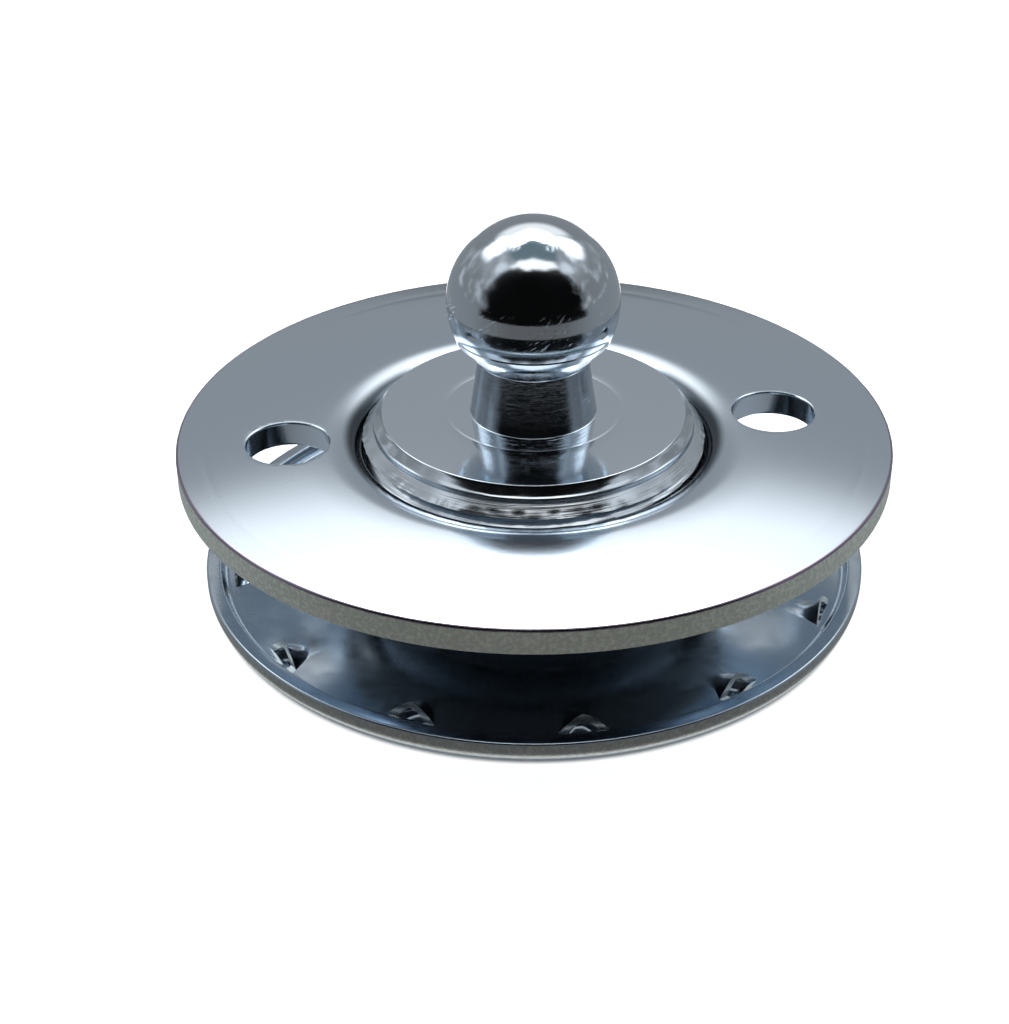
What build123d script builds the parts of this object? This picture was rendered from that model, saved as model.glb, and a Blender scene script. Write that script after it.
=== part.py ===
"""Snap fastener: a ball stud riveted into a claw plate, with a spanner plate screwed on its boss.

Millimetres, +Z up along the stud. The origin is the centre of the claw plate's underside, and the
two spanner holes lie on the X axis.
"""

import os
from math import acos, atan2, cos, hypot, radians, sin, sqrt

from build123d import *

os.makedirs("parts", exist_ok=True)

# Claw plate: sheet, rim and rivet hole
CLAW_PLATE_D = 19.9
CLAW_SHEET = 0.45
RIM_HEIGHT = 0.75          # underside to the top of the rim
RIM_BEND_R = 0.5           # outside radius of the bend from floor to rim
RIM_EDGE_BEVEL = 0.08      # broken edges of the rim's cut end
RIVET_HOLE_D = 6.0
RIVET_SINK = 0.2           # countersink under the hole, filled by the upset rivet end

# Claws: pointed hoods lanced up from below, each with its open mouth towards the rim
CLAW_COUNT = 12
CLAW_INSET = 0.4           # inner wall of the rim to the mouth of a claw
CLAW_HEIGHT = 0.5          # above the floor
CLAW_WIDTH = 1.42
CLAW_LENGTH = 0.95         # mouth to the end of the ridge
CLAW_WALL = 0.17
CLAW_POINT_W = 0.14
CLAW_TURN = 0.9            # degrees from the spanner holes to the nearest claw

# Boss of the stud and its outside thread, drawn at its outer diameter
THREAD_D = 10.1
BOSS_TOP = 5.43            # underside of the claw plate to the flat face
FACE_BEVEL_W = 0.27        # bevel next to the face
FACE_BEVEL_H = 0.27
LEAD_BEVEL_W = 0.33        # steep bevel that leads into the thread
LEAD_BEVEL_H = 0.46
RELIEF_H = 0.6             # undercut between the thread and the claw plate
RELIEF_DEPTH = 0.3

# Neck and ball
BALL_D = 5.0
BALL_RISE = 3.49           # boss face to the ball's centre
BALL_SKIRT = 1.1           # ball's centre down to the ledge under it
LEDGE_W = 0.12             # below the ledge the ball runs on, smaller by this, into the neck
NECK_TOP_D = 3.22
NECK_FOOT_D = 3.72

# Spanner plate: disc, spanner holes and threaded collar
SPANNER_PLATE_D = 21.0
SPANNER_SHEET = 0.78
CLAMP_GAP = 3.57           # floor of the claw plate to the underside of the spanner plate
PLATE_TOP_BEVEL = 0.12
PLATE_LOW_BEVEL = 0.08
SPANNER_HOLE_D = 2.46
SPANNER_HOLE_LAND = 0.92   # bore of the collar to the edge of the spanner holes
SPANNER_HOLE_BEVEL = 0.05  # broken upper edge of the holes
LIP_W = 1.2                # soft bend from the plate's top into the collar, a quarter of an ellipse
LIP_DROP = 0.5
COLLAR_WALL = 0.5
COLLAR_LENGTH = 1.7        # below the plate's underside
COLLAR_ROOT_BEVEL = 0.35   # thickening where the collar leaves the disc
COLLAR_END_BEVEL = 0.12
THREAD_CLEARANCE = 0.05    # radial, between boss and collar

# Worked out from the values above
claw_plate_r = CLAW_PLATE_D / 2
rim_wall_r = claw_plate_r - CLAW_SHEET
floor_top = CLAW_SHEET
rivet_r = RIVET_HOLE_D / 2
mouth_r = rim_wall_r - CLAW_INSET

thread_r = THREAD_D / 2
relief_r = thread_r - RELIEF_DEPTH
lead_top_r = thread_r - LEAD_BEVEL_W
face_r = lead_top_r - FACE_BEVEL_W
lead_top = BOSS_TOP - FACE_BEVEL_H
thread_top = lead_top - LEAD_BEVEL_H

ball_r = BALL_D / 2
ball_z = BOSS_TOP + BALL_RISE
ledge_z = ball_z - BALL_SKIRT
ledge_r = sqrt(ball_r**2 - BALL_SKIRT**2)
under_r = hypot(ledge_r - LEDGE_W, BALL_SKIRT)
neck_angle = acos(NECK_TOP_D / 2 / under_r)
ledge_angle = atan2(BALL_SKIRT, ledge_r - LEDGE_W)
under_angle = (neck_angle + ledge_angle) / 2
neck_top = ball_z - under_r * sin(neck_angle)

spanner_r = SPANNER_PLATE_D / 2
plate_low = floor_top + CLAMP_GAP
plate_top = plate_low + SPANNER_SHEET
bore_r = thread_r + THREAD_CLEARANCE
collar_r = bore_r + COLLAR_WALL
collar_low = plate_low - COLLAR_LENGTH
lip_r = bore_r + LIP_W
lip_low = plate_top - LIP_DROP
spanner_hole_r = SPANNER_HOLE_D / 2
hole_circle_r = bore_r + SPANNER_HOLE_LAND + spanner_hole_r


def near(sketch, *points):
    """The corners of a sketch that lie at the given points."""
    return [sketch.vertices().sort_by_distance((x, z, 0))[0] for x, z in points]


def tapered_gable(half_width, base, top, flat, mouth, length):
    """Solid along X whose gable section at the mouth shrinks towards its base, with flat sides."""
    section = [(-half_width, base), (half_width, base), (flat, top), (-flat, top)]
    share = 0.95 * (floor_top - hood_base) / (hood_top - hood_base)
    front = [Vector(mouth, y, z) for y, z in section]
    back = [Vector(mouth - length, share * y, base + share * (z - base)) for y, z in section]
    faces = [Face(Wire.make_polygon(front)), Face(Wire.make_polygon(back))]
    for i in range(4):
        j = (i + 1) % 4
        faces.append(Face(Wire.make_polygon([front[i], front[j], back[j], back[i]])))
    return Solid(Shell(faces))


# One claw at +X, as the pointed hood that stands on the floor and the pocket under it
hood_base = floor_top / 2
hood_top = floor_top + CLAW_HEIGHT
pocket_half = CLAW_WIDTH / 2 - 1.5 * CLAW_WALL
pocket_top = hood_top - CLAW_WALL
pocket_length = CLAW_LENGTH - CLAW_WALL
with BuildPart() as claw_hood:
    add(tapered_gable(CLAW_WIDTH / 2, hood_base, hood_top, CLAW_POINT_W / 2, mouth_r, CLAW_LENGTH))

with BuildPart() as claw_pocket:
    add(tapered_gable(pocket_half, -CLAW_WALL, pocket_top, CLAW_POINT_W, mouth_r, pocket_length))

# Claw plate: pressed disc with its rim turned up and a ring of claws
with BuildPart() as claw_plate:
    with BuildSketch(Plane.XZ) as section:
        with BuildLine():
            Polyline(
                (rivet_r + RIVET_SINK, 0),
                (claw_plate_r, 0),
                (claw_plate_r, RIM_HEIGHT),
                (rim_wall_r, RIM_HEIGHT),
                (rim_wall_r, floor_top),
                (rivet_r, floor_top),
                (rivet_r, RIVET_SINK),
                close=True,
            )
        make_face()
        fillet(near(section, (claw_plate_r, 0)), min(RIM_BEND_R, 0.9 * RIM_HEIGHT))
        rim_end = near(section, (claw_plate_r, RIM_HEIGHT), (rim_wall_r, RIM_HEIGHT))
        chamfer(rim_end, RIM_EDGE_BEVEL)
    revolve(axis=Axis.Z)
    with PolarLocations(0, CLAW_COUNT, start_angle=CLAW_TURN):
        add(claw_hood.part)
    with PolarLocations(0, CLAW_COUNT, start_angle=CLAW_TURN):
        add(claw_pocket.part, mode=Mode.SUBTRACT)
claw_plate.part.label = "claw_plate"

# Ball stud: rivet end, relieved thread, bevelled boss, conical neck, undercut and ball in one turn
with BuildPart() as ball_stud:
    with BuildSketch(Plane.XZ) as section:
        with BuildLine():
            turned = Polyline(
                (0, ball_z + ball_r),
                (0, 0),
                (rivet_r + RIVET_SINK, 0),
                (rivet_r, RIVET_SINK),
                (rivet_r, floor_top),
                (relief_r, floor_top),
                (relief_r, floor_top + RELIEF_H - RELIEF_DEPTH),
                (thread_r, floor_top + RELIEF_H),
                (thread_r, thread_top),
                (lead_top_r, lead_top),
                (face_r, BOSS_TOP),
                (NECK_FOOT_D / 2, BOSS_TOP),
                (NECK_TOP_D / 2, neck_top),
            )
            ledge = Line((ledge_r - LEDGE_W, ledge_z), (ledge_r, ledge_z))
            ThreePointArc(
                turned @ 1,
                (under_r * cos(under_angle), ball_z - under_r * sin(under_angle)),
                ledge @ 0,
            )
            ThreePointArc(
                ledge @ 1,
                (ball_r * cos(radians(30)), ball_z + ball_r * sin(radians(30))),
                turned @ 0,
            )
        make_face()
    revolve(axis=Axis.Z)
ball_stud.part.label = "ball_stud"

# Spanner plate: disc with a soft lip drawn down into the collar that carries the inside thread
with BuildPart() as spanner_plate:
    with BuildSketch(Plane.XZ) as section:
        with BuildLine():
            outer = Polyline(
                (bore_r, lip_low),
                (bore_r, collar_low),
                (collar_r, collar_low),
                (collar_r, plate_low),
                (spanner_r, plate_low),
                (spanner_r, plate_top),
                (lip_r, plate_top),
            )
            EllipticalCenterArc((lip_r, lip_low), LIP_W, LIP_DROP, start_angle=90, arc_size=90)
        make_face()
        chamfer(near(section, (spanner_r, plate_top)), PLATE_TOP_BEVEL)
        chamfer(near(section, (spanner_r, plate_low)), PLATE_LOW_BEVEL)
        chamfer(near(section, (collar_r, plate_low)), COLLAR_ROOT_BEVEL)
        chamfer(near(section, (bore_r, collar_low)), COLLAR_END_BEVEL)
    revolve(axis=Axis.Z)
    with BuildSketch(Plane.XY.offset(plate_low)):
        with PolarLocations(hole_circle_r, 2):
            Circle(spanner_hole_r)
    extrude(amount=SPANNER_SHEET, mode=Mode.SUBTRACT)
    hole_edges = spanner_plate.edges().filter_by(GeomType.CIRCLE)
    hole_edges = hole_edges.filter_by(lambda edge: abs(edge.radius - spanner_hole_r) < 1e-4)
    chamfer(hole_edges.group_by(Axis.Z)[-1], SPANNER_HOLE_BEVEL)
spanner_plate.part.label = "spanner_plate"

for piece in (claw_plate.part, ball_stud.part, spanner_plate.part):
    export_step(piece, f"parts/{piece.label}.step")
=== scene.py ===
"""Snap fastener: ball stud, claw plate and spanner plate in bright plating, on a white floor."""

from math import acos, asin, atan2, cos, degrees, hypot, pi, radians, sin, sqrt

import bmesh
import bpy
from mathutils import Matrix, Vector, noise


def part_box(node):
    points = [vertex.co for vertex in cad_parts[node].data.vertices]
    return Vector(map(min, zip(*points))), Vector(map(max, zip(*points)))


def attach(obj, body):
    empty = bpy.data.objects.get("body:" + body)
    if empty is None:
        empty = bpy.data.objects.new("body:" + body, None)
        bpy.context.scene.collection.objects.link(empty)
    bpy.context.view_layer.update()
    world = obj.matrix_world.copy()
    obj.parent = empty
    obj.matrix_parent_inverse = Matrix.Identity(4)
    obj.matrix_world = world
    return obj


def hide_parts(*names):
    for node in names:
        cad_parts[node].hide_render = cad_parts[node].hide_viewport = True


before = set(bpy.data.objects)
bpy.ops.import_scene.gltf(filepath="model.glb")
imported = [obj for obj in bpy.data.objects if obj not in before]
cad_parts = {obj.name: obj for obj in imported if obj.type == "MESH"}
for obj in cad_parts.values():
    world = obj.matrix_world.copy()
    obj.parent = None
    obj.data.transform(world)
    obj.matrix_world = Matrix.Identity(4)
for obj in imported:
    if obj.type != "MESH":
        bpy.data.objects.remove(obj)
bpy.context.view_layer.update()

MM = 0.001
COLUMNS = 288              # steps round the axis of every turned surface
SHARP = radians(22)        # edges bent by more than this are shown as edges

# Sizes in millimetres, read from the frame where a node's box gives them
stud_high = Vector(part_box("ball_stud")[1]) / MM
disc_low, disc_high = (Vector(corner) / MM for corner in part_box("spanner_plate"))
claw_high = Vector(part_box("claw_plate")[1]) / MM

# Ball stud
THREAD_R = stud_high.x
THREAD_PITCH, THREAD_DEPTH, THREAD_RAGGED = 0.75, 0.4, 0.035
THREAD_CREST = 1.15                             # above 1, the crest is flat
THREAD_FADE_LOW, THREAD_FADE_HIGH = 0.25, 0.12
BALL_R = 2.5
BALL_Z = stud_high.z - BALL_R
BOSS_TOP = BALL_Z - 3.49                        # the boss face, below the ball's centre
BEVEL_W, BEVEL_H = 0.27, 0.27                   # bevel next to the boss face
LEAD_W, LEAD_H = 0.33, 0.46                     # from that bevel down to the thread
LEAD_WALL_W, LEAD_WALL_H = 0.02, 0.16           # the short wall at the top of it
FACE_RING_R, FACE_RING_DEPTH = 2.59, 0.003      # fine turned ring in the face
LEDGE_DROP, LEDGE_W = 1.1, 0.12                 # ledge under the ball
GROOVE_RISE, GROOVE_DEPTH = 0.24, 0.035         # shallow groove above the ledge
NECK_TOP_R, NECK_FOOT_R = 1.61, 1.86
RIVET_R, RIVET_SINK = 3.0, 0.2
RELIEF_DEPTH, RELIEF_H = 0.3, 0.6               # undercut below the thread
STUD_EDGE_R, RIVET_EDGE_R = 0.03, 0.08

# Spanner plate
DISC_R = disc_high.x
DISC_TOP = disc_high.z
DISC_LOW = DISC_TOP - 0.78
DISC_EDGE_R, DISC_RAGGED = 0.07, 0.006
COLLAR_LOW = disc_low.z
BORE_R = THREAD_R + 0.05
BORE_THREAD_DEPTH = 0.3
COLLAR_R = BORE_R + 0.5
COLLAR_ROOT_R, COLLAR_EDGE_R = 0.45, 0.04
LIP_W, LIP_DROP = 1.2, 0.5
HOLE_R, HOLE_X, HOLE_EDGE_R = 1.23, 7.25, 0.06
HOLE_TOOL = 0.3                                 # how far the hole's tool stands out of the plate
LINE_R, LINE_DEPTH = 9.7, 0.002                 # pressed line near the rim
DISH_BENDS = ((5.6, 0.0406), (7.2, -0.025))     # the plate's fall from the lip to the rim

# Claw plate
SHEET = 0.45
CLAW_PLATE_R = claw_high.x
RIM_H, RIM_OUTER_EDGE_R, RIM_INNER_EDGE_R = 0.75, 0.07, 0.06
BEND_R, INNER_BEND_R = 0.5, 0.22
CLAWS, CLAW_TURN = 12, radians(0.9)
CLAW_MOUTH_R = CLAW_PLATE_R - SHEET - 0.4
CLAW_H, CLAW_W, CLAW_L, CLAW_WALL = 0.5, 1.42, 0.95, 0.17
POINT = 0.3                # how blunt a claw is, as a share of its half width
CLAW_LEAN = 0.2            # the mouth of a claw leans back by this share of its height
CLAW_END = 0.94            # share of its length at which a claw stops
CLAW_NARROWS, CLAW_SINKS = 0.6, 2.2        # powers by which width and height shrink to there

# Camera, solved from the outlines in the photograph
CAM_TURN = radians(7.66)   # the stud's X axis is turned by this from the photograph's
CAM_BACK, CAM_UP = 51.264, 28.529
CAM_PAN, CAM_TILT, CAM_ROLL = -0.0171, 0.5508, -0.0087
CAM_FOCAL_PX = 1979.93
FRAME_PX = 1024


# Small node helpers

def node(tree, kind, inputs=(), **props):
    """New node, its inputs given as values or as sockets to link, by name or number."""
    made = tree.nodes.new(kind)
    for key, value in props.items():
        setattr(made, key, value)
    for key, value in dict(inputs).items():
        socket = made.inputs[key]
        if isinstance(value, bpy.types.NodeSocket):
            tree.links.new(value, socket)
        else:
            socket.default_value = value
    return made


def calc(tree, operation, *values):
    """Result of one math node."""
    return node(tree, "ShaderNodeMath", enumerate(values), operation=operation).outputs[0]


def times(tree, *factors):
    """Product of numbers and sockets."""
    product = factors[0]
    for factor in factors[1:]:
        product = calc(tree, "MULTIPLY", product, factor)
    return product


def ramp(tree, value, low, high, to_low=0.0, to_high=1.0):
    """Smooth step of value from low to high."""
    inputs = {"Value": value, "From Min": low, "From Max": high,
              "To Min": to_low, "To Max": to_high}
    made = node(tree, "ShaderNodeMapRange", inputs, interpolation_type="SMOOTHSTEP")
    return made.outputs[0]


def clouds(tree, where, scale, detail):
    """Value of a noise texture."""
    inputs = {"Vector": where, "Scale": scale, "Detail": detail}
    return node(tree, "ShaderNodeTexNoise", inputs).outputs[0]


def blend(tree, fac, a, b):
    """Colour a where fac is 0, b where it is 1."""
    made = node(tree, "ShaderNodeMix", data_type="RGBA")
    for socket, value in ((made.inputs[0], fac), (made.inputs[6], a), (made.inputs[7], b)):
        if isinstance(value, bpy.types.NodeSocket):
            tree.links.new(value, socket)
        else:
            socket.default_value = value
    return made.outputs[2]


def grey(value, blue=0.0):
    """Grey, leaning to blue by the given share."""
    return (value * (1 - blue), value, value * (1 + blue), 1)


# Turned surfaces

def arc(cx, cz, r, start, end, steps):
    """Points on an arc, angles in degrees from +R towards +Z."""
    turn = [radians(start + (end - start) * i / steps) for i in range(steps + 1)]
    return [(cx + r * cos(a), cz + r * sin(a)) for a in turn]


def line(a, b, steps):
    """Points on a straight line, both ends included."""
    (r, z), (r_end, z_end) = a, b
    return [(r + (r_end - r) * i / steps, z + (z_end - z) * i / steps) for i in range(steps + 1)]


def placed(name, bm):
    """Object in the scene, made of a bmesh that is freed."""
    mesh = bpy.data.meshes.new(name)
    bm.to_mesh(mesh)
    bm.free()
    made = bpy.data.objects.new(name, mesh)
    bpy.context.scene.collection.objects.link(made)
    return made


def turned(name, profile, closed, shape=None):
    """Mesh object turned about Z from (r, z) points; shape(r, z, angle) may move each point."""
    bm = bmesh.new()
    rings = []
    for r, z in profile:
        if r < 1e-6:
            rings.append([bm.verts.new((0, 0, z * MM))])
            continue
        ring = []
        for i in range(COLUMNS):
            a = 2 * pi * i / COLUMNS
            r2, z2 = shape(r, z, a) if shape else (r, z)
            ring.append(bm.verts.new((r2 * cos(a) * MM, r2 * sin(a) * MM, z2 * MM)))
        rings.append(ring)
    pairs = list(zip(rings, rings[1:]))
    if closed:
        pairs.append((rings[-1], rings[0]))
    for low, high in pairs:
        for i in range(COLUMNS):
            j = (i + 1) % COLUMNS
            if len(low) == 1:
                bm.faces.new((low[0], high[j], high[i]))
            elif len(high) == 1:
                bm.faces.new((low[i], low[j], high[0]))
            else:
                bm.faces.new((low[i], low[j], high[j], high[i]))
    bmesh.ops.recalc_face_normals(bm, faces=bm.faces)
    return placed(name, bm)


def boolean(target, other, operation):
    """Applies one exact boolean to target and deletes the other object."""
    modifier = target.modifiers.new("tool", "BOOLEAN")
    modifier.operation = operation
    modifier.solver = "EXACT"
    modifier.object = other
    depsgraph = bpy.context.evaluated_depsgraph_get()
    mesh = bpy.data.meshes.new_from_object(target.evaluated_get(depsgraph))
    target.modifiers.clear()
    target.data = mesh
    bpy.data.objects.remove(other)


def smooth(made):
    """Smooth shading, broken at the real edges."""
    bm = bmesh.new()
    bm.from_mesh(made.data)
    for face in bm.faces:
        face.smooth = True
    for edge in bm.edges:
        edge.smooth = len(edge.link_faces) == 2 and edge.calc_face_angle(0) < SHARP
    bm.to_mesh(made.data)
    bm.free()
    made.data.update()


def thread(z, angle, low, high, depth):
    """Depth of a V thread below its crest, fading out at both ends."""
    turn = (z / THREAD_PITCH - angle / (2 * pi)) % 1.0
    cut = 1 - min(1.0, abs(2 * turn - 1) * THREAD_CREST)
    fade_low = max(0.0, (z - low) / THREAD_FADE_LOW)
    fade_high = max(0.0, (high - z) / THREAD_FADE_HIGH)
    fade = min(1.0, fade_low, fade_high)
    return depth * cut * fade


# Ball stud
lead_top = BOSS_TOP - BEVEL_H
thread_top = lead_top - LEAD_H
lead_r = THREAD_R - LEAD_W
face_r = lead_r - BEVEL_W
ledge_z = BALL_Z - LEDGE_DROP
ledge_r = sqrt(BALL_R**2 - LEDGE_DROP**2)
under_r = hypot(ledge_r - LEDGE_W, LEDGE_DROP)
neck_top = BALL_Z - sqrt(under_r**2 - NECK_TOP_R**2)
relief_r = THREAD_R - RELIEF_DEPTH


def stud_shape(r, z, angle):
    """Cuts the thread and roughens its start."""
    if relief_r + 0.01 < r <= THREAD_R + 1e-6 and z < thread_top + 0.02:
        r -= thread(z, angle, SHEET + RELIEF_H, thread_top, THREAD_DEPTH)
    if abs(z - thread_top) < 0.12 and r > lead_r:
        r += THREAD_RAGGED * noise.noise(Vector((24 * cos(angle), 24 * sin(angle), z * 4)))
    return r, z


stud_profile = [(0, 0), (1.5, 0), (2.6, 0)]
stud_profile += arc(RIVET_R + RIVET_SINK - RIVET_EDGE_R, RIVET_EDGE_R, RIVET_EDGE_R, -90, -10, 4)
stud_profile += [(RIVET_R, RIVET_SINK + 0.02), (RIVET_R, SHEET)]
stud_profile += line((RIVET_R + 0.1, SHEET), (relief_r, SHEET), 3)
relief_top = SHEET + RELIEF_H
relief_wall = relief_top - RELIEF_DEPTH
stud_profile += line((relief_r, SHEET + 0.02), (relief_r, relief_wall), 2)
stud_profile += line((relief_r + 0.02, relief_wall + 0.02), (THREAD_R, relief_top), 4)
stud_profile += line((THREAD_R, relief_top + 0.03), (THREAD_R, thread_top - 0.01), 118)
lead_wall_foot = (lead_r + LEAD_WALL_W, lead_top - LEAD_WALL_H)
stud_profile += line((THREAD_R, thread_top), lead_wall_foot, 6)
stud_profile += line(lead_wall_foot, (lead_r, lead_top), 3)[1:]
stud_profile += [(lead_r - 0.02, lead_top + 0.015)]
stud_profile += line((lead_r - 0.05, lead_top + 0.04), (face_r + 0.03, BOSS_TOP - 0.025), 3)
stud_profile += arc(face_r, BOSS_TOP - STUD_EDGE_R, STUD_EDGE_R, 45, 90, 3)
stud_profile += line((face_r - 0.02, BOSS_TOP), (FACE_RING_R + 0.03, BOSS_TOP), 6)
stud_profile += [
    (FACE_RING_R + 0.01, BOSS_TOP - FACE_RING_DEPTH),
    (FACE_RING_R - 0.01, BOSS_TOP - FACE_RING_DEPTH),
    (FACE_RING_R - 0.03, BOSS_TOP),
]
stud_profile += line((FACE_RING_R - 0.09, BOSS_TOP), (NECK_FOOT_R + 0.05, BOSS_TOP), 3)
stud_profile += arc(NECK_FOOT_R + STUD_EDGE_R, BOSS_TOP + STUD_EDGE_R, STUD_EDGE_R, 270, 188, 4)
stud_profile += line((NECK_FOOT_R - 0.01, BOSS_TOP + 0.08), (NECK_TOP_R, neck_top - 0.02), 6)
under_start = -degrees(acos(NECK_TOP_R / under_r))
under_end = -degrees(atan2(LEDGE_DROP, ledge_r - LEDGE_W))
stud_profile += arc(0, BALL_Z, under_r, under_start + 0.8, under_end, 16)
stud_profile += [(ledge_r - 0.03, ledge_z)]
ball_start = -degrees(asin(LEDGE_DROP / BALL_R))
groove_at = -degrees(asin((LEDGE_DROP - GROOVE_RISE) / BALL_R))
stud_profile += arc(0, BALL_Z, BALL_R, ball_start + 0.4, groove_at - 0.8, 4)
stud_profile += arc(0, BALL_Z, BALL_R - GROOVE_DEPTH, groove_at - 0.3, groove_at + 0.3, 1)
stud_profile += arc(0, BALL_Z, BALL_R, groove_at + 0.8, 89, 64)
stud_profile += [(0, BALL_Z + BALL_R)]
stud = turned("ball_stud_turned", stud_profile, False, stud_shape)
smooth(stud)


# Spanner plate
lip_low = DISC_TOP - LIP_DROP


def disc_shape(r, z, angle):
    """Cuts the inside thread and makes the upper edge slightly uneven."""
    if abs(r - BORE_R) < 1e-6:
        r += thread(z, angle, COLLAR_LOW + 0.1, lip_low - 0.15, BORE_THREAD_DEPTH)
    if r > DISC_R - 0.12 and z > DISC_TOP - 0.3:
        r += DISC_RAGGED * noise.noise(Vector((40 * cos(angle), 40 * sin(angle), z * 9)))
    return r, z


disc_profile = line((BORE_R, COLLAR_LOW + 0.12), (BORE_R, lip_low), 60)
for step in range(6, 91, 4):
    bend = radians(step)
    disc_profile.append((BORE_R + LIP_W - LIP_W * cos(bend), lip_low + LIP_DROP * sin(bend)))
disc_profile += line((BORE_R + LIP_W + 0.08, DISC_TOP), (LINE_R - 0.05, DISC_TOP), 12)
disc_profile += [(LINE_R - 0.02, DISC_TOP - LINE_DEPTH), (LINE_R + 0.02, DISC_TOP - LINE_DEPTH)]
disc_profile += line((LINE_R + 0.05, DISC_TOP), (DISC_R - 0.12, DISC_TOP), 3)
disc_profile += arc(DISC_R - DISC_EDGE_R, DISC_TOP - DISC_EDGE_R, DISC_EDGE_R, 90, 0, 6)
disc_profile += line((DISC_R, DISC_TOP - 0.1), (DISC_R, DISC_LOW + 0.1), 6)
disc_profile += arc(DISC_R - DISC_EDGE_R, DISC_LOW + DISC_EDGE_R, DISC_EDGE_R, 0, -90, 5)
disc_profile += line((DISC_R - 0.1, DISC_LOW), (COLLAR_R + 0.5, DISC_LOW), 10)
disc_profile += arc(COLLAR_R + COLLAR_ROOT_R, DISC_LOW - COLLAR_ROOT_R, COLLAR_ROOT_R, 90, 180, 8)
disc_profile += line((COLLAR_R, DISC_LOW - 0.5), (COLLAR_R, COLLAR_LOW + 0.05), 5)
disc_profile += arc(COLLAR_R - COLLAR_EDGE_R, COLLAR_LOW + COLLAR_EDGE_R, COLLAR_EDGE_R, 0, -90, 3)
disc_profile += [(COLLAR_R - 0.1, COLLAR_LOW), (BORE_R + 0.14, COLLAR_LOW)]
disc = turned("spanner_plate_pressed", disc_profile, True, disc_shape)

hole_tool_r = HOLE_R + HOLE_TOOL + 0.04
hole_profile = [(0, DISC_LOW - HOLE_TOOL), (hole_tool_r, DISC_LOW - HOLE_TOOL)]
hole_profile += arc(HOLE_R + HOLE_EDGE_R, DISC_LOW + HOLE_EDGE_R, HOLE_EDGE_R, 270, 180, 4)
hole_profile += line((HOLE_R, DISC_LOW + 0.1), (HOLE_R, DISC_TOP - 0.1), 3)
hole_profile += arc(HOLE_R + HOLE_EDGE_R, DISC_TOP - HOLE_EDGE_R, HOLE_EDGE_R, 180, 90, 4)
hole_profile += [(hole_tool_r, DISC_TOP + HOLE_TOOL), (0, DISC_TOP + HOLE_TOOL)]
for side in (-1, 1):
    punch = turned("punch", hole_profile, False)
    punch.location.x = side * HOLE_X * MM
    bpy.context.view_layer.update()
    boolean(disc, punch, "DIFFERENCE")
smooth(disc)


# Claw plate
wall_r = CLAW_PLATE_R - SHEET
inner_bend = (wall_r - INNER_BEND_R, SHEET + INNER_BEND_R)
claw_profile = line((RIVET_R + RIVET_SINK, 0), (CLAW_PLATE_R - BEND_R - 0.05, 0), 8)
claw_profile += arc(CLAW_PLATE_R - BEND_R, BEND_R, BEND_R, -90, 0, 12)
claw_profile += [(CLAW_PLATE_R, RIM_H - 0.12)]
claw_profile += arc(CLAW_PLATE_R - RIM_OUTER_EDGE_R, RIM_H - RIM_OUTER_EDGE_R,
                    RIM_OUTER_EDGE_R, 0, 90, 5)
claw_profile += [(wall_r + 0.1, RIM_H)]
claw_profile += arc(wall_r + RIM_INNER_EDGE_R, RIM_H - RIM_INNER_EDGE_R,
                    RIM_INNER_EDGE_R, 90, 180, 5)
claw_profile += arc(*inner_bend, INNER_BEND_R, 0, -90, 9)
claw_profile += line((wall_r - INNER_BEND_R - 0.05, SHEET), (RIVET_R, SHEET), 8)
claw_profile += [(RIVET_R, RIVET_SINK)]
claw_plate = turned("claw_plate_pressed", claw_profile, True)


def hoods(name, half, base, low, top, length, ahead):
    """The ring of claws as pointed arches, or of the pockets under them, shrinking from the mouth.

    half is the half width at the mouth, base the lower end, low and top the arch's heights, and
    ahead how far the first section is repeated outwards.
    """
    bm = bmesh.new()
    steps, points = 8, 16
    for k in range(CLAWS):
        turn = CLAW_TURN + 2 * pi * k / CLAWS
        rings = []
        for i in range(-1 if ahead else 0, steps + 1):
            t = max(i, 0) / steps * CLAW_END
            wide = half * (1 - t) ** CLAW_NARROWS
            tall = (top - low) * (1 - t) ** CLAW_SINKS
            section = [(-wide, base)]
            for j in range(points + 1):
                u = 2 * j / points - 1
                arch = 1 - (hypot(u, POINT) - POINT) / (hypot(1, POINT) - POINT)
                section.append((wide * u, low + 0.001 * (1 - u * u) + tall * arch))
            section.append((wide, base))
            ring = []
            for y, z in section:
                x = CLAW_MOUTH_R - length * t - CLAW_LEAN * max(0.0, z - SHEET) * (1 - t)
                if i < 0:
                    x += ahead
                ring.append(bm.verts.new((
                    (x * cos(turn) - y * sin(turn)) * MM,
                    (x * sin(turn) + y * cos(turn)) * MM,
                    z * MM,
                )))
            rings.append(ring)
        bm.faces.new(rings[0])
        bm.faces.new(rings[-1])
        for one, two in zip(rings, rings[1:]):
            for i in range(len(one)):
                j = (i + 1) % len(one)
                bm.faces.new((one[i], one[j], two[j], two[i]))
    bmesh.ops.recalc_face_normals(bm, faces=bm.faces)
    return placed(name, bm)


hood_top = SHEET + CLAW_H
claws = hoods("hoods", CLAW_W / 2, SHEET / 2, SHEET, hood_top, CLAW_L, 0.0)
boolean(claw_plate, claws, "UNION")
pockets = hoods("pockets", CLAW_W / 2 - CLAW_WALL, -CLAW_WALL, SHEET - 0.1, hood_top - CLAW_WALL,
                CLAW_L - CLAW_WALL, 0.03)
boolean(claw_plate, pockets, "DIFFERENCE")
smooth(claw_plate)


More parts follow.
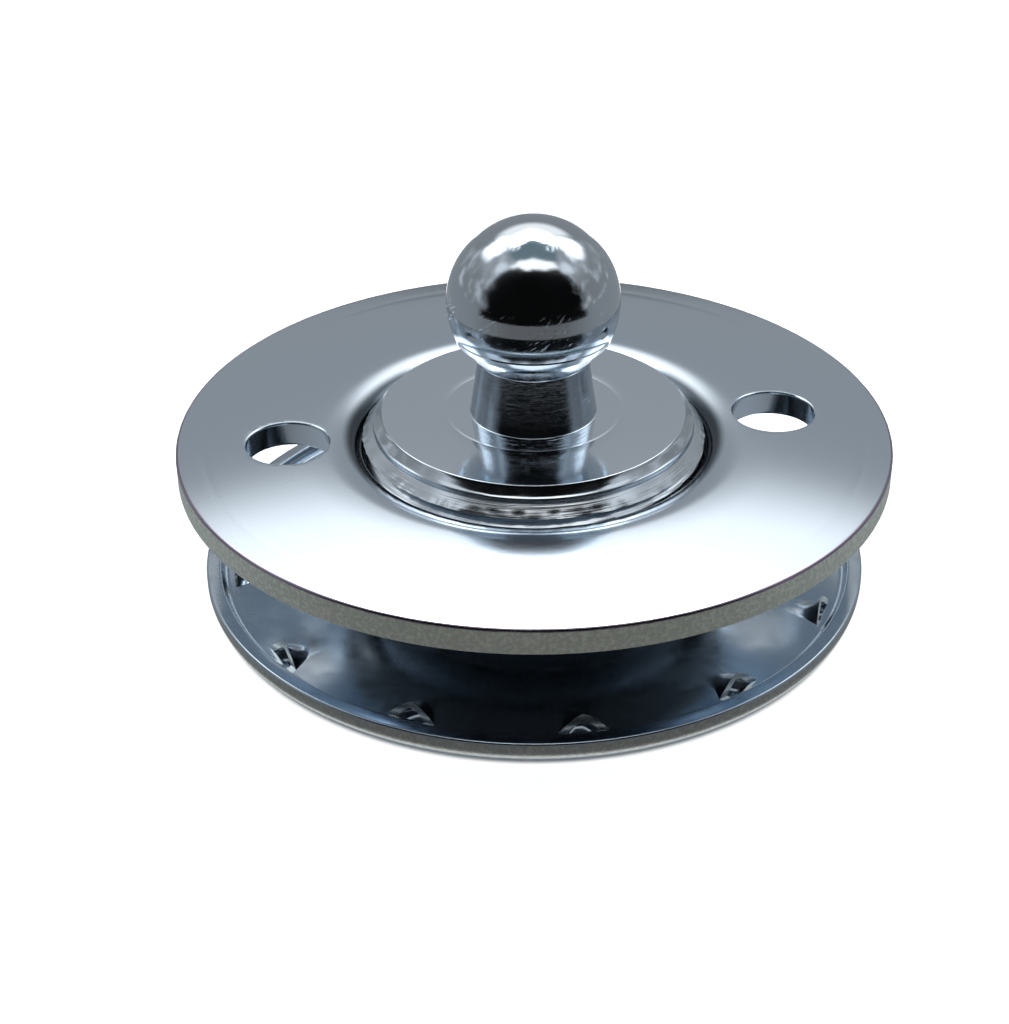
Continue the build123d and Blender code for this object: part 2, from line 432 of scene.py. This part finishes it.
# Plating. Noise is given as (scale per millimetre, detail)
BLOTCHES = (0.9, 4.0)
GRAIN = (24.0, 1.0)
TURNING_MARKS = (22.0, 1.0)
ZONE_MARKS = (18.0, 2.0)
STREAKS = (6.0, 4.0)
STAINS = (9.0, 3.0)
STAIN_LIGHTER = 1.3
CUTS = (1.4, 2.0)
WORN_PATCHES = (1.1, 1.0)


def position(tree):
    """Place in millimetres, distance from the axis, height, and angle round the axis."""
    place = node(tree, "ShaderNodeTexCoord").outputs["Object"]
    scaled = node(tree, "ShaderNodeVectorMath", {0: place, 3: 1 / MM}, operation="SCALE").outputs[0]
    x, y, z = node(tree, "ShaderNodeSeparateXYZ", {0: scaled}).outputs
    radius = calc(tree, "SQRT", calc(tree, "ADD", times(tree, x, x), times(tree, y, y)))
    turn = calc(tree, "ARCTAN2", y, x)
    return scaled, radius, z, turn


def scratched(tree, place, z, turn, low, high, depth):
    """Height of slanting cuts in worn patches, between two heights."""
    slant = node(tree, "ShaderNodeCombineXYZ", {
        0: calc(tree, "ADD", times(tree, turn, 2.5), times(tree, z, 1.6)),
        1: calc(tree, "SUBTRACT", times(tree, turn, 14.0), times(tree, z, 8.0)),
    }).outputs[0]
    belt = times(tree, ramp(tree, z, low, low + 0.3), ramp(tree, z, high, high - 0.3))
    worn = times(tree, belt, ramp(tree, clouds(tree, place, *WORN_PATCHES), 0.4, 0.55))
    cut = times(tree, ramp(tree, clouds(tree, slant, *CUTS), 0.6, 0.68), worn)
    return times(tree, cut, -depth)


def plating(name, colour, roughness, grain=0.0, rings=0.0, blotch=0.0, dish=(), scratches=None,
            zones=()):
    """Plated metal, with depths in millimetres.

    grain is the depth of a fine pitting, rings that of turning marks, and blotch the share by
    which the roughness varies. dish is a slope down to the rim, each bend of it given as (radius
    where it starts, fall per square millimetre). scratches is (low, high, depth) of slanting cuts
    between two heights.

    Each zone is (mask, colour, roughness, streaks, rings), with mask a function of (tree, radius,
    z), and with the depths of fine streaks along Z and of turning marks. Streaks come with stains.
    """
    material = bpy.data.materials.new(name)
    material.use_nodes = True
    tree = material.node_tree
    shader = tree.nodes["Principled BSDF"]
    shader.inputs["Metallic"].default_value = 1.0
    place, radius, z, turn = position(tree)
    heights = []
    tint, rough = colour, roughness
    if blotch:
        rough = ramp(tree, clouds(tree, place, *BLOTCHES), 0.3, 0.7,
                     roughness * (1 - blotch), roughness * (1 + blotch))
    if grain:
        heights.append(times(tree, clouds(tree, place, *GRAIN), grain))
    if rings:
        across = node(tree, "ShaderNodeCombineXYZ", {0: radius, 1: z}).outputs[0]
        heights.append(times(tree, clouds(tree, across, *TURNING_MARKS), rings))
    for start, fall in dish:
        outward = calc(tree, "MAXIMUM", calc(tree, "SUBTRACT", radius, start), 0.0)
        heights.append(times(tree, outward, outward, -fall))
    if scratches:
        heights.append(scratched(tree, place, z, turn, *scratches))
    for mask, zone_colour, zone_roughness, zone_streaks, zone_rings in zones:
        share = mask(tree, radius, z)
        tint = blend(tree, share, tint, zone_colour)
        rough = node(tree, "ShaderNodeMix", {0: share, 2: rough, 3: zone_roughness}).outputs[0]
        if zone_rings:
            slow_turn = times(tree, turn, 0.12)
            across = node(tree, "ShaderNodeCombineXYZ", {0: radius, 1: z, 2: slow_turn}).outputs[0]
            marks = clouds(tree, across, *ZONE_MARKS)
            heights.append(times(tree, marks, times(tree, share, zone_rings)))
        if zone_streaks:
            along = node(tree, "ShaderNodeCombineXYZ", {
                0: times(tree, turn, 10.0), 1: times(tree, z, 0.3), 2: radius,
            }).outputs[0]
            streaks = clouds(tree, along, *STREAKS)
            heights.append(times(tree, streaks, times(tree, share, zone_streaks)))
            stain = ramp(tree, clouds(tree, place, *STAINS), 0.4, 0.7)
            stained = [min(1.0, STAIN_LIGHTER * channel) for channel in zone_colour]
            tint = blend(tree, times(tree, share, stain), tint, stained)
    for socket, value in (("Base Color", tint), ("Roughness", rough)):
        if isinstance(value, bpy.types.NodeSocket):
            tree.links.new(value, shader.inputs[socket])
        else:
            shader.inputs[socket].default_value = value
    if heights:
        height = heights[0]
        for other in heights[1:]:
            height = calc(tree, "ADD", height, other)
        bump = node(tree, "ShaderNodeBump", {"Height": height, "Distance": MM, "Strength": 1.0})
        tree.links.new(bump.outputs[0], shader.inputs["Normal"])
    return material


def beyond(limit, soft=0.02):
    """Mask of what lies farther from the axis than limit."""
    return lambda tree, radius, z: ramp(tree, radius, limit - soft, limit + soft)


def thread_lead(tree, radius, z):
    """Mask of the wall and cone between bevel and thread, and of the thread below them."""
    outside = ramp(tree, radius, THREAD_R - 0.55, THREAD_R - 0.5)
    return times(tree, outside, ramp(tree, z, lead_top - 0.01, lead_top - 0.04))


def lip_root_shade(tree, radius, z):
    """Mask of the steep inner part of the lip, which is painted dark: painted shade beside the
    boss.
    """
    inside = ramp(tree, radius, BORE_R + 0.6, BORE_R + 0.3)
    return times(tree, inside, ramp(tree, z, DISC_LOW, DISC_LOW + 0.1))


def collar_shade(tree, radius, z):
    """Mask of the collar under the plate, which is painted dark: painted shade in the gap between
    the plates.
    """
    below = ramp(tree, z, DISC_LOW + 0.05, DISC_LOW - 0.05)
    return times(tree, below, ramp(tree, radius, COLLAR_R + 0.6, COLLAR_R + 0.2))


def deep_thread_shade(tree, radius, z):
    """Mask of the stud below the end of the collar, painted as dark as the collar: painted shade in
    the gap.
    """
    return ramp(tree, z, COLLAR_LOW + 0.3, COLLAR_LOW)


def boss_face(tree, radius, z):
    """Mask of the boss's flat face, painted lighter than the stud as painted light."""
    level = calc(tree, "ABSOLUTE", calc(tree, "SUBTRACT", z, BOSS_TOP))
    inside = ramp(tree, radius, face_r + 0.02, face_r)
    return times(tree, ramp(tree, level, 0.02, 0.01), inside)


def neck_wall(tree, radius, z):
    """Mask of the neck between the boss face and the ball, painted darker as shade under the ball.
    """
    above = ramp(tree, z, BOSS_TOP + 0.02, BOSS_TOP + 0.06)
    height = times(tree, above, ramp(tree, z, neck_top, neck_top - 0.04))
    return times(tree, height, ramp(tree, radius, NECK_FOOT_R + 0.08, NECK_FOOT_R + 0.04))


def claw_mouths(tree, radius, z):
    """Mask of the cut faces at the mouths of the claws, painted bright as a highlight."""
    lean = times(tree, calc(tree, "SUBTRACT", z, SHEET), CLAW_LEAN)
    plane = calc(tree, "ADD", radius, lean)
    inside = times(tree, ramp(tree, plane, CLAW_MOUTH_R - 0.02, CLAW_MOUTH_R - 0.01),
                   ramp(tree, radius, CLAW_MOUTH_R + 0.1, CLAW_MOUTH_R + 0.09))
    return times(tree, inside, ramp(tree, z, SHEET + 0.02, SHEET + 0.04))


def side_wall(limit, height):
    """Mask of a side wall: beyond the limit and below the height."""
    outside = beyond(limit, 0.01)
    return lambda tree, radius, z: times(tree, outside(tree, radius, z),
                                         ramp(tree, z, height + 0.02, height - 0.02))


EDGE = (0.72, 0.77, 0.70, 1)
# A thin dark purple line on the spanner plate's rounded top edge: a painted dark reflection
DARK_EDGE_REFLECTION = (0.34, 0.28, 0.36, 1)
# Darker colour of the claw plate's rim wall near the floor: painted shade, with real streaks and
# stains
SHADED_RIM_WALL = (0.45, 0.48, 0.47, 1)
# Bright colour of the cut faces at the claws' mouths: a painted highlight on the real cut faces
LIT_CUT_FACE = (0.95, 0.92, 0.84, 1)
disc_edge = DISC_R - DISC_EDGE_R
disc_wall = side_wall(DISC_R - 0.02, DISC_TOP - DISC_EDGE_R)
rim_wall = side_wall(CLAW_PLATE_R - 0.25, RIM_H - 0.08)
disc_metal = plating("spanner_plate_satin", grey(0.75, 0.13), 0.15, grain=0.0012, dish=DISH_BENDS,
                     # painted shade: the steep inner part of the lip is coloured dark
                     zones=[(lip_root_shade, grey(0.1, 0.2), 0.15, 0.0, 0.0),
                            # painted shade: the collar under the plate is coloured dark
                            (collar_shade, grey(0.1, 0.05), 0.25, 0.0, 0.0),
                            (beyond(disc_edge, 0.01), DARK_EDGE_REFLECTION, 0.2, 0.0, 0.0),
                            (disc_wall, EDGE, 0.42, 0.01, 0.0)])
stud_metal = plating("stud_bright", grey(0.6, 0.09), 0.09, grain=0.0004, rings=0.0004, blotch=0.5,
                     scratches=(BALL_Z - 0.5, BALL_Z + 0.7, 0.009),
                     # painted light: the boss face is coloured lighter than the rest of the stud
                     zones=[(boss_face, grey(0.84, 0.1), 0.1, 0.0, 0.0),
                            (thread_lead, grey(0.66, 0.08), 0.2, 0.0, 0.005),
                            # painted shade: the stud in the gap below the collar is coloured dark
                            (deep_thread_shade, grey(0.16, 0.05), 0.2, 0.0, 0.0),
                            # painted shade: the neck under the ball is coloured darker, with real
                            # turning marks
                            (neck_wall, grey(0.38, 0.12), 0.12, 0.0, 0.012)])
claw_metal = plating("claw_plate_bright", grey(0.54, 0.15), 0.2, grain=0.0003, blotch=0.3,
                     zones=[(rim_wall, SHADED_RIM_WALL, 0.4, 0.01, 0.0),
                            (claw_mouths, LIT_CUT_FACE, 0.3, 0.0, 0.0)])

for made, body, replaced, slot, material in (
    (stud, "base", "ball_stud", "stud_plating", stud_metal),
    (disc, "nut", "spanner_plate", "spanner_plate_plating", disc_metal),
    (claw_plate, "base", "claw_plate", "claw_plate_plating", claw_metal),
):
    made.data.materials.clear()
    made.data.materials.append(material)
    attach(made, body)
    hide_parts(replaced)


# Camera
def spot(x, y, z):
    """A direction or place given in the photograph's frame, in the part's own."""
    return Vector((x * cos(CAM_TURN) + y * sin(CAM_TURN),
                   -x * sin(CAM_TURN) + y * cos(CAM_TURN), z))


forward = Vector((sin(CAM_PAN) * cos(CAM_TILT), cos(CAM_PAN) * cos(CAM_TILT), -sin(CAM_TILT)))
level_right = forward.cross(Vector((0, 0, 1))).normalized()
level_up = level_right.cross(forward)
right = level_right * cos(CAM_ROLL) + level_up * sin(CAM_ROLL)
up = level_up * cos(CAM_ROLL) - level_right * sin(CAM_ROLL)
axes = [spot(*axis) for axis in (right, up, -forward)]
facing = Matrix([[axis[i] for axis in axes] for i in range(3)]).to_4x4()
camera_data = bpy.data.cameras.new("camera")
camera_data.lens = CAM_FOCAL_PX / FRAME_PX * camera_data.sensor_width
camera_data.clip_start = 0.001
camera = bpy.data.objects.new("camera", camera_data)
camera.matrix_world = Matrix.Translation(spot(0, -CAM_BACK, CAM_UP + DISC_TOP) * MM) @ facing
bpy.context.scene.collection.objects.link(camera)
bpy.context.scene.camera = camera

# Floor and world: white to the camera and in mirrors, and the floor keeps the object's shadow
REACH = 0.8                # radius of floor, table card and tent in metres
FLOOR_Z = -0.00002
WHITE, LIT = grey(1.0), grey(0.8)
FLOOR_GLOW = 0.8           # in the open, where the object doesn't cover the floor
UNDERSIDE_GLOW = 0.5       # for what lies on the floor
UNDERSIDE_FADE = (0.15 * MM, 0.1 * MM)


def ring(name, inner, outer, z, start=0.0, end=2 * pi, steps=96):
    """Flat ring on the stage, from angle start to end."""
    mesh = bpy.data.meshes.new(name)
    angles = [start + (end - start) * i / steps for i in range(steps + 1)]
    rims = [(r * cos(a), r * sin(a), z) for a in angles for r in (inner, outer)]
    mesh.from_pydata(rims, [], [(2 * i, 2 * i + 1, 2 * i + 3, 2 * i + 2) for i in range(steps)])
    made = bpy.data.objects.new(name, mesh)
    bpy.context.scene.collection.objects.link(made)
    return made


def surface(made, name):
    """Gives an object an empty node material and returns its node tree."""
    material = bpy.data.materials.new(name)
    material.use_nodes = True
    material.node_tree.nodes.clear()
    made.data.materials.append(material)
    return material.node_tree


def emit(tree, colour):
    """Closes a card's material with plain emission."""
    light = node(tree, "ShaderNodeEmission", {0: colour, 1: 1.0}).outputs[0]
    node(tree, "ShaderNodeOutputMaterial", {0: light})


def shown(tree):
    """1 for the rays that show the background: camera, glossy and transmission."""
    path = node(tree, "ShaderNodeLightPath")
    seen = calc(tree, "MAXIMUM", path.outputs["Is Camera Ray"], path.outputs["Is Glossy Ray"])
    return calc(tree, "MAXIMUM", seen, path.outputs["Is Transmission Ray"])


floor = ring("floor", 0.0, REACH, FLOOR_Z)
tree = surface(floor, "floor_white")
plain = node(tree, "ShaderNodeBsdfDiffuse", {"Color": LIT}).outputs[0]
place = node(tree, "ShaderNodeTexCoord").outputs["Object"]
apart = node(tree, "ShaderNodeVectorMath", {0: place}, operation="LENGTH").outputs["Value"]
# The floor's glow is left out under the object: painted shade where the object covers the floor
covered = (CLAW_PLATE_R - 0.3) * MM
open_floor = ramp(tree, apart, covered, covered + 0.2 * MM, 0.0, FLOOR_GLOW)
length = node(tree, "ShaderNodeLightPath").outputs["Ray Length"]
underside = times(tree, ramp(tree, length, *UNDERSIDE_FADE), UNDERSIDE_GLOW)
strength = calc(tree, "MAXIMUM", open_floor, underside)
glow = node(tree, "ShaderNodeEmission", {"Color": WHITE, "Strength": strength}).outputs[0]
white = node(tree, "ShaderNodeAddShader", {0: glow, 1: plain}).outputs[0]
above = node(tree, "ShaderNodeMixShader", {0: shown(tree), 1: plain, 2: white}).outputs[0]
clear = node(tree, "ShaderNodeBsdfTransparent").outputs[0]
from_below = node(tree, "ShaderNodeNewGeometry").outputs["Backfacing"]
both = node(tree, "ShaderNodeMixShader", {0: from_below, 1: above, 2: clear}).outputs[0]
node(tree, "ShaderNodeOutputMaterial", {0: both})

world = bpy.data.worlds.new("studio")
bpy.context.scene.world = world
world.use_nodes = True
tree = world.node_tree
tree.nodes.clear()
backdrop = blend(tree, shown(tree), LIT, WHITE)
light = node(tree, "ShaderNodeBackground", {0: backdrop, 1: 1.0}).outputs[0]
node(tree, "ShaderNodeOutputWorld", {0: light})


def bearings(tree):
    """Where a point of a card lies, seen from the object.

    Its elevation and its turn from the camera's side, in degrees, and its distance from the axis.
    """
    way = node(tree, "ShaderNodeTexCoord").outputs["Object"]

    def along(direction):
        made = node(tree, "ShaderNodeVectorMath", {0: way, 1: direction}, operation="DOT_PRODUCT")
        return made.outputs["Value"]

    toward, beside, height = along(spot(0, -1, 0)), along(spot(1, 0, 0)), along((0, 0, 1))
    flat = calc(tree, "SQRT", calc(tree, "ADD", times(tree, toward, toward),
                                   times(tree, beside, beside)))
    elevation = times(tree, calc(tree, "ARCTAN2", height, flat), 180 / pi)
    aside = times(tree, calc(tree, "ARCTAN2", beside, toward), 180 / pi)
    return elevation, calc(tree, "ABSOLUTE", aside), flat


def lamp(tree, elevation, turn, at_turn, at_height, width, height, soft):
    """Mask of an oval lamp, its middle at (at_turn, at_height) and its half sizes in degrees."""
    narrow = calc(tree, "COSINE", times(tree, elevation, pi / 180))
    u = calc(tree, "DIVIDE", times(tree, calc(tree, "SUBTRACT", turn, at_turn), narrow), width)
    v = calc(tree, "DIVIDE", calc(tree, "SUBTRACT", elevation, at_height), height)
    away = calc(tree, "ADD", times(tree, u, u), times(tree, v, v))
    return ramp(tree, away, 1 + soft, 1 - soft)


# Cards round the object, seen only in its metal: a grey tent with a softbox behind, lamps and panes
# at the sides, a strip above the camera, and the dark room where the camera stands. Angles are in
# degrees: elevations, and turns to either side of the camera
TENT_NEAR, TENT_FAR, TENT_HIGH = grey(0.28, 0.03), grey(0.33, 0.04), grey(0.45, 0.04)
FRINGE, MOTTLE = grey(1.4, -0.02), grey(0.7, 0.06)
ZENITH = (0.2, 0.27, 0.3, 1)
STRIP, PANES, SOFTBOX, ROOM = grey(1.9), grey(1.6, 0.05), grey(5.0), grey(0.004)
STRIP_TOP, STRIP_BOW = 80.5, 0.0032    # top of the strip in front, and its fall with turn squared
ROOM_TOP, ROOM_BOW = 66.0, 0.0022      # the same of the dark room
ROOM_CORNER = 32.0                     # how much lower the room's top ends at its sides
SWAY_TURN, SWAY_HEIGHT = 34.0, 12.0    # how far noise moves the edges
MOTTLE_NOISE, SWAY_NOISE = (7.0, 4.0), (5.0, 3.0)
# Lamps: place is (turn, elevation, half width, half height, softness)
SIDE_LAMPS = (
    ((75.0, 50.0, 6.0, 8.0, 0.9), grey(1.1, 0.05)),
    ((124.0, 46.0, 14.0, 13.0, 0.85), grey(2.6, 0.03)),
)
PANES_PLACE = (116.0, 69.0, 4.0, 7.0, 0.12)
PANES_PITCH = 1.3
SOFTBOX_PLACE = (180.0, 61.5, 26.0, 10.5, 0.25)

bm = bmesh.new()
bmesh.ops.create_uvsphere(bm, u_segments=48, v_segments=24, radius=REACH)
bmesh.ops.delete(bm, geom=[v for v in bm.verts if v.co.z < -0.001], context="VERTS")
tent = placed("tent", bm)
tree = surface(tent, "tent_cards")
elevation, turn, _ = bearings(tree)
turn_squared = times(tree, turn, turn)
paint = blend(tree, ramp(tree, turn, 60, 150), TENT_NEAR, TENT_FAR)
high = times(tree, ramp(tree, elevation, 20, 44), ramp(tree, turn, 150, 110))
paint = blend(tree, high, paint, TENT_HIGH)
fringe = times(tree, ramp(tree, elevation, 30.5, 42.0), ramp(tree, turn, 138, 152))
paint = blend(tree, fringe, paint, FRINGE)
place = node(tree, "ShaderNodeTexCoord").outputs["Object"]
sway = calc(tree, "SUBTRACT", clouds(tree, place, *SWAY_NOISE), 0.5)
turn = calc(tree, "ADD", turn, times(tree, sway, SWAY_TURN))
elevation = calc(tree, "SUBTRACT", elevation, times(tree, sway, SWAY_HEIGHT))
speckle = ramp(tree, clouds(tree, place, *MOTTLE_NOISE), 0.42, 0.72)
paint = blend(tree, times(tree, speckle, ramp(tree, turn, 150, 125)), paint, MOTTLE)
paint = blend(tree, ramp(tree, elevation, 60, 68), paint, ZENITH)
strip_top = calc(tree, "SUBTRACT", STRIP_TOP, times(tree, turn_squared, STRIP_BOW))
over_strip = calc(tree, "SUBTRACT", elevation, strip_top)
strip_height = times(tree, ramp(tree, over_strip, 2, -2), ramp(tree, elevation, 54, 57))
paint = blend(tree, times(tree, ramp(tree, turn, 68, 58), strip_height), paint, STRIP)
room_top = calc(tree, "SUBTRACT", ROOM_TOP, times(tree, turn_squared, ROOM_BOW))
corner = times(tree, ramp(tree, turn, 56, 78), ROOM_CORNER)
over_room = calc(tree, "SUBTRACT", elevation, calc(tree, "SUBTRACT", room_top, corner))
room = times(tree, ramp(tree, over_room, 2, -2), ramp(tree, turn, 78, 60))
paint = blend(tree, room, paint, ROOM)
for lamp_place, colour in SIDE_LAMPS:
    paint = blend(tree, lamp(tree, elevation, turn, *lamp_place), paint, colour)
bars = ramp(tree, calc(tree, "SINE", times(tree, elevation, PANES_PITCH)), 0.0, 0.4)
panes = times(tree, lamp(tree, elevation, turn, *PANES_PLACE), bars)
paint = blend(tree, panes, paint, PANES)
paint = blend(tree, lamp(tree, elevation, turn, *SOFTBOX_PLACE), paint, SOFTBOX)
emit(tree, paint)

# The grey table top, also only in the metal; it is open behind and close to the object
TABLE_Z = 0.0001
TABLE_FRONT, TABLE_SIDE = grey(0.17), grey(0.33, 0.06)
table_start, table_end = radians(110) - CAM_TURN, radians(430) - CAM_TURN
table = ring("table_card", (CLAW_PLATE_R + 0.04) * MM, REACH, TABLE_Z, table_start, table_end)
tree = surface(table, "table_grey")
elevation, turn, flat = bearings(tree)
dark = times(tree, ramp(tree, flat, 0.060, 0.066), ramp(tree, turn, 76, 66))
paint = blend(tree, ramp(tree, turn, 20, 100), TABLE_FRONT, TABLE_SIDE)
emit(tree, blend(tree, dark, paint, ROOM))

for card in (tent, table):
    card.visible_camera = False
table.visible_diffuse = False
table.visible_shadow = False

bpy.context.scene.view_settings.view_transform = "Standard"
